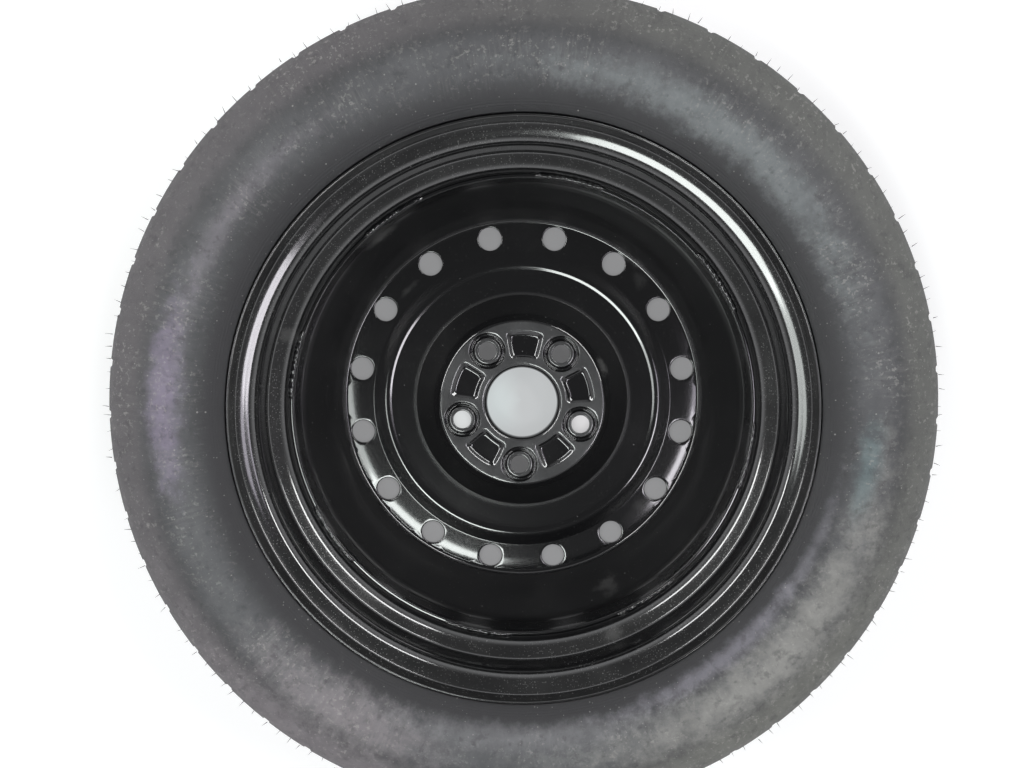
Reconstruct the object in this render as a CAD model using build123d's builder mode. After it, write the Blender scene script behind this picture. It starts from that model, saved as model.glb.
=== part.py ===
from build123d import *
import os
from math import cos, radians, sin, tan

os.makedirs("parts", exist_ok=True)

# Space saver spare wheel: a narrow tyre on a welded steel wheel, with a snap-in valve.
# Millimetres and degrees. +Z is the wheel's axis and points to the car side, so the wheel
# lies on its outer side. The origin is the centre of the bore on the hub mounting face.
# Sections are drawn as (radius, height) and turned about Z.

# Hub mounting
bore_r = 32.05
bore_wall = 4.2
bolt_circle_r = 57.15
bolt_count = 5
bolt_turn = -92.3
stud_hole_r = 8.2
stud_land = 1.3
inset = 45.0

# Rim: 17 inch, 4 inches wide, rolled from one strip
rim_sheet = 2.6
rim_width = 101.6
width_height = 8.0
seat_r = 218.4
seat_width = 20.0
seat_taper = 5.0
flange_rise = 14.8
flange_lean = 21.5
lip_out = 3.9
lip_reach = 5.8
well_drop = 17.3
well_lean = 30.0
lip_root_bend = 6.5
heel_bend = 4.0
shoulder_bend = 5.6
well_bend = 8.4
valve_side_bend = 4.0
lip_round = 0.8

# Disc: one pressing, welded into the well of the rim. Places are shares of the run
# from the foot of the hub's cone to the flange
disc_sheet = 3.2
disc_fit = 0.05
bore_bend = 1.0
hub_margin = 1.4
hub_edge_bend = 8.0
valley_depth = 24.0
cone_slope = 52.0
valley_bend = 16.0
step_place = 0.248
step_run = 5.5
step_rise = 3.0
step_bend = 2.5
ridge_place = 0.409
ridge_bend = 6.0
crown_place = 0.7
vent_inner_lean = 3.0
vent_outer_lean = 12.5
vent_band_curve = 2.5
crown_bend = 4.0
disc_flange = 28.0
disc_flange_bend = 30.0
vent_count = 16
vent_inner_margin = 3.8
vent_outer_margin = 2.75
vent_turn = 11.25

# Pressed pockets between the studs, and the raised nut seats
pocket_margin = 5.2
pocket_run = 21.5
pocket_inner_w = 23.4
pocket_outer_w = 35.8
pocket_corner = 4.0
pocket_depth = 2.6
pocket_slope = 58.0
seat_margin = 3.3
seat_trough_depth = 3.2
seat_trough_share = 0.234
seat_floor_share = 0.213
seat_lip_share = 0.213
seat_edge_share = 0.085
seat_lip_drop = 0.4
nut_cone = 30.0

# Welds between the disc's edge and the well
weld_count = 8
weld_arc = 17.0
weld_turn = 78.5
weld_leg = 3.4
weld_foot = 2.6
weld_bulge = 0.5
weld_gap = 0.05
weld_margin = 0.35

# Tyre: 135 mm section, 90 series, 17 inch
tyre_r = 337.4
section_width = 135.0
section_mid = 0.448
bead_width = 17.0
bead_fit = 0.1
lip_gap = 3.5
sidewall_wall = 7.0
bead_wall = 9.0
tread_wall = 11.0
tread_width = 104.6
tread_drop = 4.4
shoulder_drop = 11.4
shoulder_width = 115.0
groove_w = 7.0
groove_depth = 4.0
groove_gap = 24.0
slot_count = 50
slot_w = 8.0
slot_run = 24.0
slot_depth = 3.0
slot_skew = 18.0

# Valve: snap-in rubber stem with a brass tube, a sprung core and a screw cap
valve_turn = 90.0
valve_hole_r = 5.75
valve_fit = 0.05
stem_gap = 0.35
stem_base_r = 8.0
stem_base = 4.0
stem_bulge_r = 7.4
stem_bulge = 3.0
stem_tip_r = 4.7
stem_length = 20.0
tube_r = 3.2
tube_end_r = 3.85
tube_end = 10.0
tube_bore_r = 1.6
core_r = 2.55
core_fit = 0.05
core_head = 4.0
core_drop = 1.5
core_neck_r = 2.05
core_length = 17.5
core_bore_r = 1.35
core_web = 1.2
gasket_length = 2.4
pin_r = 0.6
pin_fit = 0.1
pin_proud = 0.8
pin_collar_r = 1.15
pin_collar = 0.7
pin_collar_drop = 1.4
pin_stroke = 1.0
cup_r = 1.75
cup_length = 1.4
seal_length = 0.9
seal_gap = 0.05
spring_wire_r = 0.12
spring_turns = 6
cap_wall = 1.05
cap_top = 1.5
cap_skirt = 9.0
cap_thread_fit = 0.1
cap_gasket = 1.3
cap_gap = 0.1
rib_count = 16
rib_r = 0.45


def lower(points):
    """Points mirrored to the outer side of the rim's centre plane, in path order."""
    return [(r, 2 * inset - z) for r, z in reversed(points)]


# Rim section, tyre side: lip, flange, bead seat and slope into the well
well_r = seat_r - well_drop
half_width = rim_width / 2
lean = tan(radians(flange_lean))
flange_corner_z = inset + half_width - width_height * lean
lip_root = (seat_r + flange_rise, flange_corner_z + flange_rise * lean)
lip_tip = (lip_root[0] + lip_out, lip_root[1] + lip_reach)
flange_corner = (seat_r, flange_corner_z)
seat_end = (seat_r - seat_width * tan(radians(seat_taper)), flange_corner_z - seat_width)
well_corner = (well_r, seat_end[1] - (seat_end[0] - well_r) * tan(radians(well_lean)))
rim_side = [lip_tip, lip_root, flange_corner, seat_end, well_corner]
rim_bends = [lip_root_bend, heel_bend, shoulder_bend, well_bend]
rim_bends += [valve_side_bend, shoulder_bend, heel_bend, lip_root_bend]

# The valve stands square on the outer slope of the well, half way along it
slope_top, slope_foot = lower(rim_side)[1], lower(rim_side)[0]
valve_r = (slope_top[0] + slope_foot[0]) / 2 - rim_sheet * sin(radians(well_lean))
valve_z = (slope_top[1] + slope_foot[1]) / 2 - rim_sheet * cos(radians(well_lean))
valve_dir = (
    -sin(radians(well_lean)) * cos(radians(valve_turn)),
    -sin(radians(well_lean)) * sin(radians(valve_turn)),
    -cos(radians(well_lean)),
)
valve_side = (-sin(radians(valve_turn)), cos(radians(valve_turn)), 0)
valve_plane = Plane(
    origin=(valve_r * cos(radians(valve_turn)), valve_r * sin(radians(valve_turn)), valve_z),
    x_dir=valve_side,
    z_dir=valve_dir,
)

with BuildPart() as rim:
    with BuildSketch(Plane.XZ) as rim_section:
        with BuildLine() as rim_path:
            FilletPolyline(*rim_side, *lower(rim_side), radius=rim_bends)
            offset(amount=rim_sheet, side=Side.RIGHT)
        make_face()
        lip_corners = rim_section.vertices().group_by(Axis.Y)
        fillet(lip_corners[0] + lip_corners[1] + lip_corners[-1] + lip_corners[-2], lip_round)
    revolve(axis=Axis.Z)
    with Locations(valve_plane):
        Cylinder(valve_hole_r, 4 * rim_sheet, mode=Mode.SUBTRACT)
rim.part.label = "rim"
export_step(rim.part, "parts/rim.step")

# Nut seat: a raised ring on the outer side, a trough round a lip on the car side
bore_edge_r = disc_sheet + bore_bend
seat_trough_r = bolt_circle_r - bore_r - bore_edge_r - seat_margin
seat_run = seat_trough_r - stud_hole_r
seat_floor_z = -seat_trough_depth
seat_boss_z = seat_floor_z - disc_sheet
seat_boss_r = seat_trough_r + disc_sheet / 8
seat_lip_z = -seat_lip_drop
cone_top_z = seat_lip_z - stud_land
cone_mouth_r = stud_hole_r + (cone_top_z - seat_boss_z) * tan(radians(nut_cone))
trough_outer_r = seat_trough_r - seat_trough_share * seat_run
trough_inner_r = trough_outer_r - seat_floor_share * seat_run
seat_lip_r = trough_inner_r - seat_lip_share * seat_run

# Disc section, car side: bore, hub face, cone, valley, step, vent band, wall and flange
disc_flange_r = well_r - rim_sheet - disc_fit - disc_sheet
well_bend_foot = well_corner[1] - well_bend * tan(radians(45 - well_lean / 2))
flange_edge = well_bend_foot - weld_margin - weld_leg - weld_gap
bore_end = bore_edge_r + bore_wall
hub_face_r = bolt_circle_r + seat_boss_r + hub_margin
hub_edge_r = hub_face_r + hub_edge_bend * tan(radians(cone_slope / 2))
cone_foot_r = hub_edge_r + valley_depth / tan(radians(cone_slope))
disc_run = disc_flange_r - cone_foot_r
step_r = cone_foot_r + step_place * disc_run
ridge_r = cone_foot_r + ridge_place * disc_run
crown_r = cone_foot_r + crown_place * disc_run
vent_band_run = crown_r - ridge_r
vent_r = (vent_band_run - vent_inner_margin - vent_outer_margin) / 2
vent_circle_r = ridge_r + vent_inner_margin + vent_r
land_z = step_rise - valley_depth
band_mid_r = ridge_r + vent_band_run / 2
band_mid_z = land_z - vent_band_run / 2 * tan(radians(vent_inner_lean))
crown_z = band_mid_z - vent_band_run / 2 * tan(radians(vent_outer_lean))
disc_points = [
    (bore_r, -bore_end),
    (bore_r, 0),
    (hub_edge_r, 0),
    (cone_foot_r, -valley_depth),
    (step_r, -valley_depth),
    (step_r + step_run, land_z),
    (ridge_r, land_z),
    (band_mid_r, band_mid_z),
    (crown_r, crown_z),
    (disc_flange_r, flange_edge - disc_flange),
    (disc_flange_r, flange_edge),
]
disc_bends = [
    bore_edge_r,
    hub_edge_bend,
    valley_bend,
    step_bend,
    step_bend + disc_sheet,
    ridge_bend,
    vent_band_curve * vent_band_run,
    crown_bend,
    disc_flange_bend,
]

with BuildPart() as seat_boss:
    with BuildSketch(Plane.XZ):
        with BuildLine():
            Polyline(
                (0, -disc_sheet / 2),
                (seat_boss_r, -disc_sheet / 2),
                (seat_boss_r, -disc_sheet),
                (trough_outer_r + disc_sheet / 4, seat_boss_z),
                (0, seat_boss_z),
                close=True,
            )
        make_face()
    revolve(axis=Axis.Z)

with BuildPart() as seat_cut:
    with BuildSketch(Plane.XZ):
        with BuildLine():
            seat_line = FilletPolyline(
                (seat_trough_r, 0),
                (trough_outer_r, seat_floor_z),
                (trough_inner_r, seat_floor_z),
                (seat_lip_r, seat_lip_z),
                (stud_hole_r, seat_lip_z),
                radius=seat_edge_share * seat_run,
            )
            Polyline(
                seat_line @ 1,
                (stud_hole_r, cone_top_z),
                (cone_mouth_r, seat_boss_z),
                (cone_mouth_r, seat_boss_z - disc_sheet),
                (0, seat_boss_z - disc_sheet),
                (0, disc_sheet),
                (seat_trough_r, disc_sheet),
                seat_line @ 0,
            )
        make_face()
    revolve(axis=Axis.Z)

pocket_half = pocket_run / 2
pocket_mid_r = bore_r + bore_edge_r + pocket_margin + pocket_half
pocket_outline = [
    (-pocket_half, -pocket_inner_w / 2),
    (pocket_half, -pocket_outer_w / 2),
    (pocket_half, pocket_outer_w / 2),
    (-pocket_half, pocket_inner_w / 2),
]
pocket_turn = bolt_turn + 180 / bolt_count
pocket_grow = disc_sheet * (1 - sin(radians(pocket_slope))) / cos(radians(pocket_slope))

with BuildPart() as wheel_disc:
    with BuildSketch(Plane.XZ):
        with BuildLine():
            FilletPolyline(*disc_points, radius=disc_bends)
            offset(amount=disc_sheet, side=Side.RIGHT)
        make_face()
    revolve(axis=Axis.Z)
    # Pockets are pressed outwards: a raised pad on the outer face, a hollow on the hub face
    with BuildSketch(Plane.XY.offset(-disc_sheet)) as pocket_pads:
        with PolarLocations(pocket_mid_r, bolt_count, start_angle=pocket_turn):
            Polygon(*pocket_outline, align=None)
        fillet(pocket_pads.vertices(), pocket_corner)
        offset(amount=pocket_grow)
    extrude(amount=-pocket_depth, taper=pocket_slope)
    with BuildSketch() as pockets:
        with PolarLocations(pocket_mid_r, bolt_count, start_angle=pocket_turn):
            Polygon(*pocket_outline, align=None)
        fillet(pockets.vertices(), pocket_corner)
    extrude(amount=-pocket_depth, taper=pocket_slope, mode=Mode.SUBTRACT)
    with PolarLocations(bolt_circle_r, bolt_count, start_angle=bolt_turn):
        add(seat_boss.part)
        add(seat_cut.part, mode=Mode.SUBTRACT)
    with Locations((0, 0, crown_z)):
        with PolarLocations(vent_circle_r, vent_count, start_angle=vent_turn):
            Cylinder(vent_r, 2 * valley_depth, mode=Mode.SUBTRACT)
wheel_disc.part.label = "wheel_disc"
export_step(wheel_disc.part, "parts/wheel_disc.step")

# Fillet welds: short arcs along the disc's edge
weld_outer_r = well_r - rim_sheet - weld_gap
weld_inner_r = weld_outer_r - weld_foot
weld_z = flange_edge + weld_gap

with BuildPart() as weld_bead:
    with BuildSketch(Plane.XZ.rotated((0, 0, -weld_arc / 2))):
        with BuildLine():
            weld_toe = (weld_inner_r, weld_z)
            weld_top = (weld_outer_r, weld_z + weld_leg)
            weld_mid = (
                weld_inner_r + weld_foot / 2 - weld_bulge,
                weld_z + weld_leg / 2 + weld_bulge,
            )
            ThreePointArc(weld_toe, weld_mid, weld_top)
            Polyline(weld_top, (weld_outer_r, weld_z), weld_toe)
        make_face()
    revolve(axis=Axis.Z, revolution_arc=weld_arc)

with BuildPart() as disc_welds:
    with PolarLocations(0, weld_count, start_angle=weld_turn):
        add(weld_bead.part)
disc_welds.part.label = "disc_welds"
export_step(disc_welds.part, "parts/disc_welds.step")

# Tyre section: bead on the seat, flank off the flange, sidewall, shoulder and tread
heel = (flange_corner[0] + bead_fit, flange_corner[1] - bead_fit)
toe = (heel[0] - bead_width * tan(radians(seat_taper)), heel[1] - bead_width)
flank_r = lip_tip[0] + lip_gap
flank = (flank_r, heel[1] + (flank_r - heel[0]) * lean)
section_mid_r = flank_r + section_mid * (tyre_r - flank_r)
widest = (section_mid_r, inset + section_width / 2)
shoulder = (tyre_r - shoulder_drop, inset + shoulder_width / 2)
tread_edge = (tyre_r - tread_drop, inset + tread_width / 2)
inner_flank = (flank_r + bead_wall / 3, flank[1] - bead_wall)
inner_wide = (section_mid_r, widest[1] - sidewall_wall)
inner_shoulder = (shoulder[0] - sidewall_wall, shoulder[1] - sidewall_wall)
inner_tread = (tyre_r - tread_wall - tread_drop / 4, inset + tread_width / 2 - 2 * sidewall_wall)

with BuildPart() as tyre:
    with BuildSketch(Plane.XZ) as tyre_section:
        with BuildLine() as tyre_half:
            FilletPolyline(toe, heel, flank, radius=heel_bend + rim_sheet)
            sidewall = ThreePointArc(flank, widest, shoulder)
            TangentArc(shoulder, tread_edge, tangent=sidewall % 1)
            ThreePointArc(
                tread_edge,
                (tyre_r - tread_drop / 4, inset + tread_width / 4),
                (tyre_r, inset),
            )
            Line((tyre_r, inset), (tyre_r - tread_wall, inset))
            ThreePointArc(
                (tyre_r - tread_wall, inset),
                (tyre_r - tread_wall - tread_drop / 16, (inset + inner_tread[1]) / 2),
                inner_tread,
            )
            Line(inner_tread, inner_shoulder)
            ThreePointArc(inner_shoulder, inner_wide, inner_flank)
            Line(inner_flank, toe)
        make_face()
        mirror(about=Plane.XZ.offset(-inset))
        with Locations((tyre_r, inset - groove_gap), (tyre_r, inset), (tyre_r, inset + groove_gap)):
            Rectangle(2 * groove_depth, groove_w, mode=Mode.SUBTRACT)
    revolve(axis=Axis.Z)
    # Short slots across both shoulders, half a pitch apart
    for side in (1, -1):
        slot_z = inset + side * (tread_width / 2 - slot_run / 3)
        with Locations((0, 0, slot_z)):
            with PolarLocations(tread_edge[0], slot_count, start_angle=(1 - side) * 90 / slot_count):
                Box(2 * slot_depth, slot_w, slot_run, rotation=(slot_skew, 0, 0), mode=Mode.SUBTRACT)
tyre.part.label = "tyre"
export_step(tyre.part, "parts/tyre.step")


# Valve: heights run outwards along the stem from the face of the rim
def along_valve(part, name):
    """Place a turned valve piece on the rim, name it and write it."""
    placed = valve_plane.location * part
    placed.label = name
    export_step(placed, f"parts/{name}.step")


stem_foot = -rim_sheet - stem_gap - stem_base
tube_top = stem_length + tube_end
core_top = tube_top - core_drop
core_foot = core_top - core_length
chamber_foot = core_foot - seal_length - cup_length - 2 * pin_stroke
shelf = core_top - core_head - gasket_length

with BuildPart() as valve_stem:
    with BuildSketch(Plane.XZ):
        with BuildLine():
            Polyline(
                (tube_r, stem_foot),
                (stem_base_r - stem_base / 3, stem_foot),
                (stem_base_r, stem_foot + stem_base / 3),
                (stem_base_r, -rim_sheet - stem_gap),
                (valve_hole_r - valve_fit, -rim_sheet - stem_gap),
                (valve_hole_r - valve_fit, stem_gap),
                (stem_bulge_r, stem_gap),
                (stem_bulge_r, stem_bulge),
                (stem_tip_r, stem_length),
                (tube_r, stem_length),
                close=True,
            )
        make_face()
    revolve(axis=Axis.Z)
along_valve(valve_stem.part, "valve_stem_rubber")

chamber_r = core_neck_r + core_fit
with BuildPart() as valve_tube:
    with BuildSketch(Plane.XZ):
        with BuildLine():
            Polyline(
                (tube_bore_r, stem_foot),
                (tube_r - valve_fit, stem_foot),
                (tube_r - valve_fit, stem_length + valve_fit),
                (tube_end_r, stem_length + valve_fit),
                (tube_end_r, tube_top),
                (core_r + core_fit, tube_top),
                (core_r + core_fit, shelf),
                (chamber_r, shelf),
                (chamber_r, chamber_foot),
                (tube_bore_r, chamber_foot),
                close=True,
            )
        make_face()
    revolve(axis=Axis.Z)
along_valve(valve_tube.part, "valve_stem_tube")

# Core: a barrel that screws into the tube, sealed by a gasket on the tube's shelf
web_top = core_foot + core_web
guide_foot = core_top - core_web / 2
with BuildPart() as valve_core:
    with BuildSketch(Plane.XZ):
        with BuildLine():
            Polyline(
                (pin_r + pin_fit, core_foot),
                (core_neck_r, core_foot),
                (core_neck_r, core_top - core_head),
                (core_r, core_top - core_head),
                (core_r, core_top),
                (pin_r + pin_fit, core_top),
                (pin_r + pin_fit, guide_foot),
                (core_bore_r, guide_foot),
                (core_bore_r, web_top),
                (pin_r + pin_fit, web_top),
                close=True,
            )
        make_face()
    revolve(axis=Axis.Z)
along_valve(valve_core.part, "valve_core_barrel")

with BuildPart() as core_gasket:
    with BuildSketch(Plane.XZ):
        with BuildLine():
            Polyline(
                (core_neck_r + core_fit / 2, shelf + core_fit),
                (core_r - core_fit, shelf + core_fit),
                (core_r, core_top - core_head - core_fit),
                (core_neck_r + core_fit / 2, core_top - core_head - core_fit),
                close=True,
            )
        make_face()
    revolve(axis=Axis.Z)
along_valve(core_gasket.part, "valve_core_gasket")

# Pin with its collar, and the cup and seal that close the barrel from below
pin_top = core_top + pin_proud
collar_top = guide_foot - pin_collar_drop
seal_top = core_foot - seal_gap
cup_top = seal_top - seal_length
cup_foot = cup_top - cup_length
with BuildPart() as valve_pin:
    with BuildSketch(Plane.XZ):
        with BuildLine():
            Polyline(
                (0, cup_foot),
                (pin_r, cup_foot),
                (pin_r, collar_top - pin_collar),
                (pin_collar_r, collar_top - pin_collar),
                (pin_collar_r, collar_top),
                (pin_r, collar_top),
                (pin_r, pin_top),
                (0, pin_top),
                close=True,
            )
        make_face()
    revolve(axis=Axis.Z)
along_valve(valve_pin.part, "valve_pin")

with BuildPart() as valve_cup:
    with BuildSketch(Plane.XZ):
        with Locations(((cup_r + pin_r + valve_fit) / 2, (cup_foot + cup_top) / 2)):
            Rectangle(cup_r - pin_r - valve_fit, cup_length)
    revolve(axis=Axis.Z)
along_valve(valve_cup.part, "valve_poppet_cup")

seal_r = cup_r - valve_fit
with BuildPart() as valve_seal:
    with BuildSketch(Plane.XZ):
        with Locations(((seal_r + pin_r + valve_fit) / 2, (cup_top + seal_top) / 2)):
            Rectangle(seal_r - pin_r - valve_fit, seal_length)
    revolve(axis=Axis.Z)
along_valve(valve_seal.part, "valve_poppet_seal")

# Coil spring between the barrel's web and the pin's collar
coil_r = (pin_r + core_bore_r) / 2
coil_foot = web_top + 2 * spring_wire_r
coil_top = collar_top - pin_collar - 2 * spring_wire_r
with BuildPart() as valve_spring:
    with BuildLine():
        coil_run = coil_top - coil_foot
        coil = Helix(coil_run / spring_turns, coil_run, coil_r, center=(0, 0, coil_foot))
    with BuildSketch(Plane(coil @ 0, z_dir=coil % 0)):
        Circle(spring_wire_r)
    sweep(path=coil, is_frenet=True)
along_valve(valve_spring.part, "valve_spring")

# Cap: a ribbed plastic thimble with a sealing disc that closes on the tube's end
cap_bore_r = tube_end_r + cap_thread_fit
disc_foot = tube_top + cap_gap
cap_roof = disc_foot + cap_gasket
cap_foot = tube_top - cap_skirt
cap_r = cap_bore_r + cap_wall
with BuildPart() as valve_cap:
    with BuildSketch(Plane.XY.offset(cap_foot)):
        Circle(cap_r)
    extrude(amount=cap_roof + cap_top - cap_foot)
    chamfer(valve_cap.faces().sort_by(Axis.Z)[-1].edges(), cap_top / 2)
    with BuildSketch(Plane.XY.offset(cap_foot)):
        with PolarLocations(cap_r, rib_count):
            Circle(rib_r)
    extrude(amount=cap_roof - cap_foot)
    with BuildSketch(Plane.XY.offset(cap_foot)):
        Circle(cap_bore_r)
    extrude(amount=cap_roof - cap_foot, mode=Mode.SUBTRACT)
along_valve(valve_cap.part, "valve_cap")

with BuildPart() as cap_seal:
    with BuildSketch(Plane.XY.offset(disc_foot)):
        Circle(cap_bore_r - valve_fit)
    extrude(amount=cap_gasket)
along_valve(cap_seal.part, "valve_cap_gasket")
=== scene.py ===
import bmesh
import bpy
from cmath import phase, rect
from math import atan2, ceil, copysign, cos, degrees, exp, hypot, log, pi, radians, sin, tan
from mathutils import Matrix, Vector


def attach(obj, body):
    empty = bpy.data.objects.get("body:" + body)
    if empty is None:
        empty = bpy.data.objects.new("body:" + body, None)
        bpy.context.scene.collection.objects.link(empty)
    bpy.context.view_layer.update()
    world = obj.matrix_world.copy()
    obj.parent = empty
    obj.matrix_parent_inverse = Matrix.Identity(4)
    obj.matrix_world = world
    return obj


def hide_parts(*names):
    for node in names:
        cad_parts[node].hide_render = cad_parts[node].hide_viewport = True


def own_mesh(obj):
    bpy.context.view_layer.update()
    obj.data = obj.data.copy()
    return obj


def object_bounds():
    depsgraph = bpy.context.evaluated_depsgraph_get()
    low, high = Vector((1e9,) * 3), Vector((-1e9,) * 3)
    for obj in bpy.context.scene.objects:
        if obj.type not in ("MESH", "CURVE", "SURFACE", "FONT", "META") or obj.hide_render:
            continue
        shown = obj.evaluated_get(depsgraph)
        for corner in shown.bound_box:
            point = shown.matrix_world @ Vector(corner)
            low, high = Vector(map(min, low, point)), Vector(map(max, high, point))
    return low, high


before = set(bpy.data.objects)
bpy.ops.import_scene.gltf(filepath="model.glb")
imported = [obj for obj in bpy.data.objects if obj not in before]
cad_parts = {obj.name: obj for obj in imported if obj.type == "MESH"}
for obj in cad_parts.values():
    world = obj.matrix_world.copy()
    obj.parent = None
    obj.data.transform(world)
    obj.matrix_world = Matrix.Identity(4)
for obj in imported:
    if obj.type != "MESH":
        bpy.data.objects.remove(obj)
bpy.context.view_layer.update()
mm = 0.001
print("frame loaded:", len(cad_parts), "nodes")


# sections are drawn in millimetres as radius + height * 1j
def bendLine(corners, bends, runs, turn, stride=20.0):
    # straight legs joined by arcs: each point comes with the normal on its right
    path = [complex(*c) for c in corners]
    line = []
    at = path[0]
    for i in range(1, len(path)):
        way = (path[i] - path[i - 1]) / abs(path[i] - path[i - 1])
        end, sweep, bend = path[i], 0, 0
        if i < len(path) - 1:
            sweep = phase((path[i + 1] - path[i]) / way)
            bend = bends[i - 1]
            end = path[i] - way * bend * tan(abs(sweep) / 2)
        steps = max(1, ceil(abs(end - at) / runs[i - 1]))
        line += [(at + (end - at) * k / steps, -1j * way) for k in range(steps)]
        at = end
        if sweep:
            spoke = 1j * way * copysign(bend, sweep)
            steps = max(3, ceil(degrees(abs(sweep)) / turn), ceil(abs(sweep) * bend / stride))
            for k in range(steps):
                swing = rect(1, sweep * k / steps)
                line.append((end + spoke - spoke * swing, -1j * way * swing))
            at = end + spoke - spoke * rect(1, sweep)
    return line + [(at, -1j * way)]


def arcLine(a, b, c, steps):
    # points on the arc from a through b to c
    ratio = (c - a) / (b - a)
    centre = a - (a - b) * (ratio - abs(ratio) ** 2) / (2j * ratio.imag)
    sweep = phase((c - centre) / (a - centre))
    if sweep * phase((b - centre) / (a - centre)) < 0:
        sweep -= copysign(2 * pi, sweep)
    return [centre + (a - centre) * rect(1, sweep * k / steps) for k in range(steps + 1)]


def spinPoint(p, turn):
    return (p.real * cos(turn) * mm, p.real * sin(turn) * mm, p.imag * mm)


def newMesh(name, verts, faces, sharp):
    mesh = bpy.data.meshes.new(name)
    mesh.from_pydata(verts, [], faces)
    work = bmesh.new()
    work.from_mesh(mesh)
    bmesh.ops.recalc_face_normals(work, faces=work.faces)
    work.to_mesh(mesh)
    work.free()
    mesh.shade_smooth()
    mesh.set_sharp_from_angle(angle=radians(sharp))
    return mesh


def onWheel(name, mesh, material, slot, *nodes):
    piece = bpy.data.objects.new(name, mesh)
    bpy.context.scene.collection.objects.link(piece)
    mesh.materials.clear()
    mesh.materials.append(material)
    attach(piece, "wheel")
    if nodes:
        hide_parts(*nodes)
    print("made", name, len(mesh.polygons), "faces")
    return piece


# nodes: each input is a value or the socket that feeds it
def put(tree, kind, inputs=None, **settings):
    node = tree.nodes.new(kind)
    for key, value in settings.items():
        setattr(node, key, value)
    for key, value in (inputs or {}).items():
        socket = node.inputs[key]
        if isinstance(value, bpy.types.NodeSocket):
            tree.links.new(value, socket)
        else:
            socket.default_value = value
    return node


def calc(tree, operation, first, *rest):
    # one math node for each further value, from the left
    total = first
    for value in rest or (0.0,):
        total = put(tree, "ShaderNodeMath", {0: total, 1: value}, operation=operation).outputs[0]
    return total


def times(tree, *values):
    return calc(tree, "MULTIPLY", *values)


def plus(tree, *values):
    return calc(tree, "ADD", *values)


def most(tree, *values):
    return calc(tree, "MAXIMUM", *values)


def stretch(tree, value, share, least):
    return plus(tree, times(tree, value, share), least)


def length(tree, a, b):
    return calc(tree, "SQRT", plus(tree, times(tree, a, a), times(tree, b, b)))


def vectorCalc(tree, operation, a, b):
    return put(tree, "ShaderNodeVectorMath", {0: a, 1: b}, operation=operation).outputs[0]


def fade(tree, value, low, high, outLow=0.0, outHigh=1.0):
    spots = {"Value": value, "From Min": low, "From Max": high, "To Min": outLow, "To Max": outHigh}
    return put(tree, "ShaderNodeMapRange", spots, interpolation_type="SMOOTHSTEP").outputs["Result"]


def band(tree, value, rise, full, fall, end):
    # 1 between two soft edges
    return times(tree, fade(tree, value, rise, full), fade(tree, value, fall, end, 1.0, 0.0))


def blendColour(tree, share, a, b):
    # the colour sockets of a Mix node are its inputs 6 and 7
    return put(tree, "ShaderNodeMix", {0: share, 6: a, 7: b}, data_type="RGBA").outputs[2]


def objectSpot(tree):
    return put(tree, "ShaderNodeTexCoord").outputs["Object"]


def noise(tree, scale, detail, rough=0.5):
    spots = {"Vector": objectSpot(tree), "Scale": scale, "Detail": detail, "Roughness": rough}
    return put(tree, "ShaderNodeTexNoise", spots).outputs["Fac"]


def useGroup(tree, group, **values):
    return put(tree, "ShaderNodeGroup", values, node_tree=group).outputs


def newGroup(name, ins, outs):
    tree = bpy.data.node_groups.new(name, "ShaderNodeTree")
    for label, value in ins.items():
        socket = tree.interface.new_socket(label, in_out="INPUT", socket_type="NodeSocketFloat")
        socket.default_value = value
    for label in outs:
        tree.interface.new_socket(label, in_out="OUTPUT", socket_type="NodeSocketFloat")
    given = tree.nodes.new("NodeGroupInput").outputs
    return tree, given, tree.nodes.new("NodeGroupOutput").inputs


def overCover(tree, value, given):
    # a mask with a soft edge where the value passes the cover
    low = calc(tree, "SUBTRACT", given["Cover"], given["Soft"])
    return fade(tree, value, low, plus(tree, given["Cover"], given["Soft"]))


# place about the axle: radius and height in metres, turn in radians
axlePlace, _, gives = newGroup("axlePlace", {}, ("Radius", "Turn", "Height"))
spot = put(axlePlace, "ShaderNodeSeparateXYZ", {0: objectSpot(axlePlace)}).outputs
axlePlace.links.new(length(axlePlace, spot[0], spot[1]), gives["Radius"])
axlePlace.links.new(calc(axlePlace, "ARCTAN2", spot[1], spot[0]), gives["Turn"])
axlePlace.links.new(spot[2], gives["Height"])

# soft patches of settled dust
cloudGrain = dict(detail=7.0, rough=0.62)
dustFall, given, gives = newGroup("dustFall", {"Scale": 8.0, "Cover": 0.5, "Soft": 0.1}, ("Mask",))
cloud = noise(dustFall, given["Scale"], cloudGrain["detail"], cloudGrain["rough"])
dustFall.links.new(overCover(dustFall, cloud, given), gives["Mask"])

# small specks: one in each cell of a scatter, some left out
speckForm = dict(leastGirth=0.25, core=0.5)
speckSpray, given, gives = newGroup("speckSpray", {"Scale": 300.0, "Size": 0.2, "Share": 0.5}, ("Mask",))
cells = put(speckSpray, "ShaderNodeTexVoronoi", {"Vector": objectSpot(speckSpray), "Scale": given["Scale"]}).outputs
pick = put(speckSpray, "ShaderNodeSeparateColor", {0: cells["Color"]}).outputs
girth = times(speckSpray, given["Size"], plus(speckSpray, pick[1], speckForm["leastGirth"]))
inside = fade(speckSpray, cells["Distance"], times(speckSpray, girth, speckForm["core"]), girth, 1.0, 0.0)
kept = calc(speckSpray, "LESS_THAN", pick[0], given["Share"])
speckSpray.links.new(times(speckSpray, inside, kept), gives["Mask"])

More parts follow.
